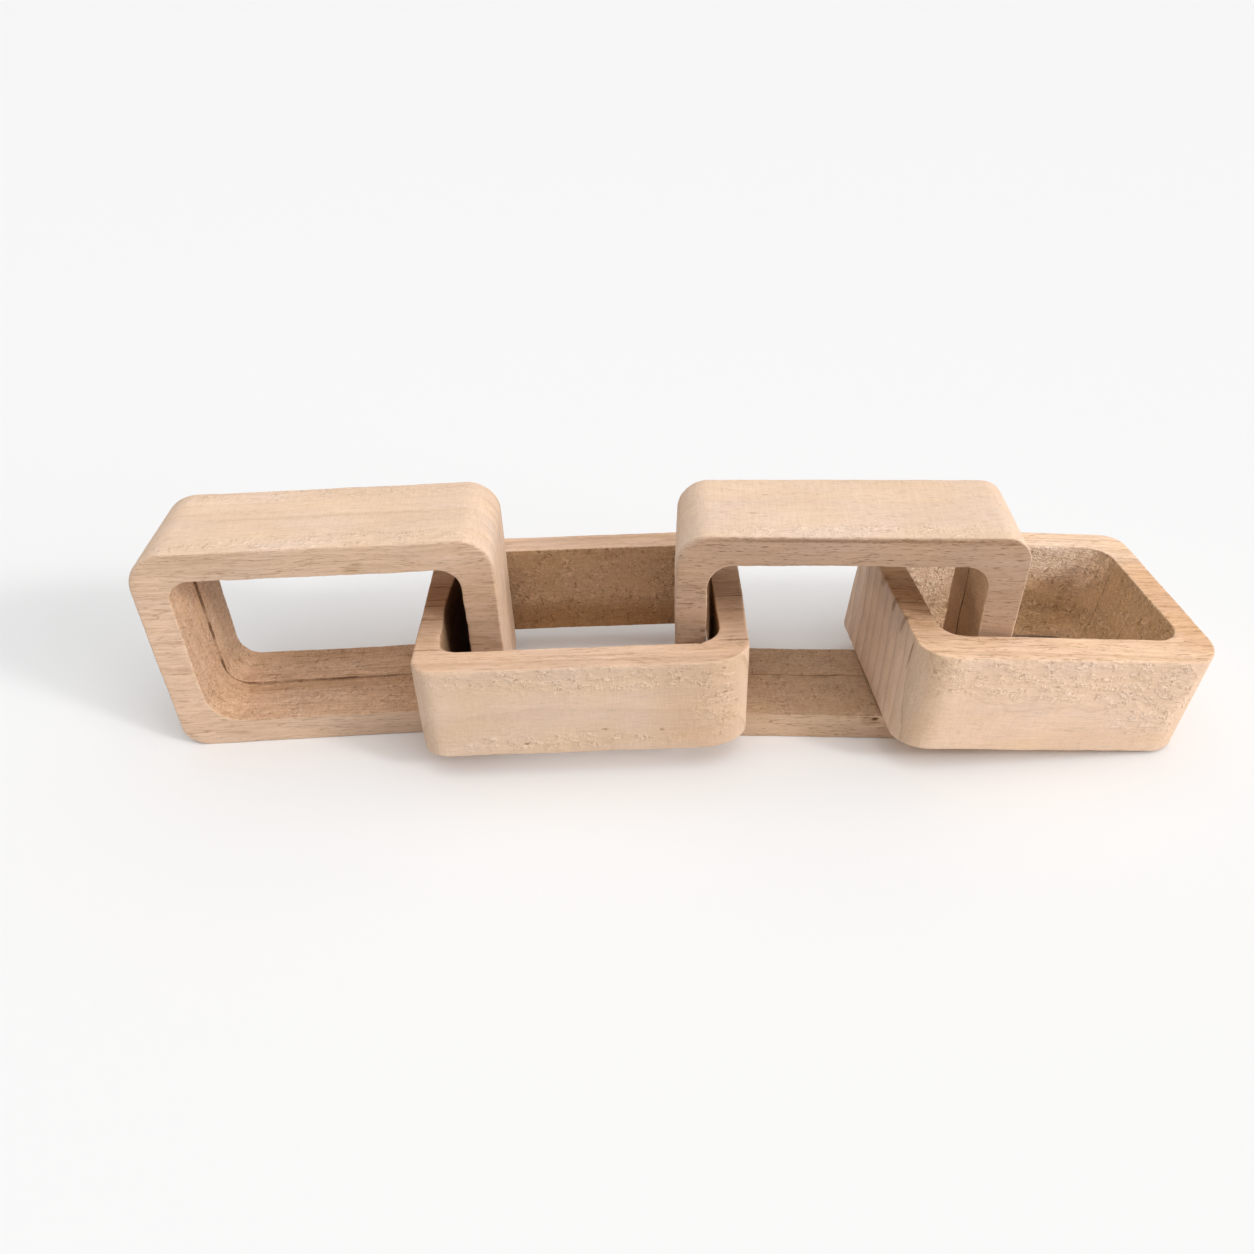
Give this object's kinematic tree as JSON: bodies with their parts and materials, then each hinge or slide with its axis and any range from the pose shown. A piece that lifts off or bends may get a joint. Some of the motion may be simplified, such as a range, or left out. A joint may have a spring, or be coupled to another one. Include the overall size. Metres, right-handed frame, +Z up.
{
  "type": "wooden link chain",
  "caption": "Chain of chunky carved wooden links, hooked one through the next and laid in a row, kept as a loose decorative ornament.",
  "frame": {"origin": "On the table under the middle of the bounding box.", "axes": "+X runs along the chain to the right as the picture shows it, +Y runs away from the viewer, +Z is up."},
  "size_m": [0.4854, 0.1194, 0.1125],
  "materials": {
    "bare_wood": "raw sanded pale wood, no oil or varnish"
  },
  "bodies": {
    "root": {"left_end_link": "bare_wood", "left_middle_link": "bare_wood", "right_middle_link": "bare_wood", "right_end_link": "bare_wood"}
  },
  "joints": []
}
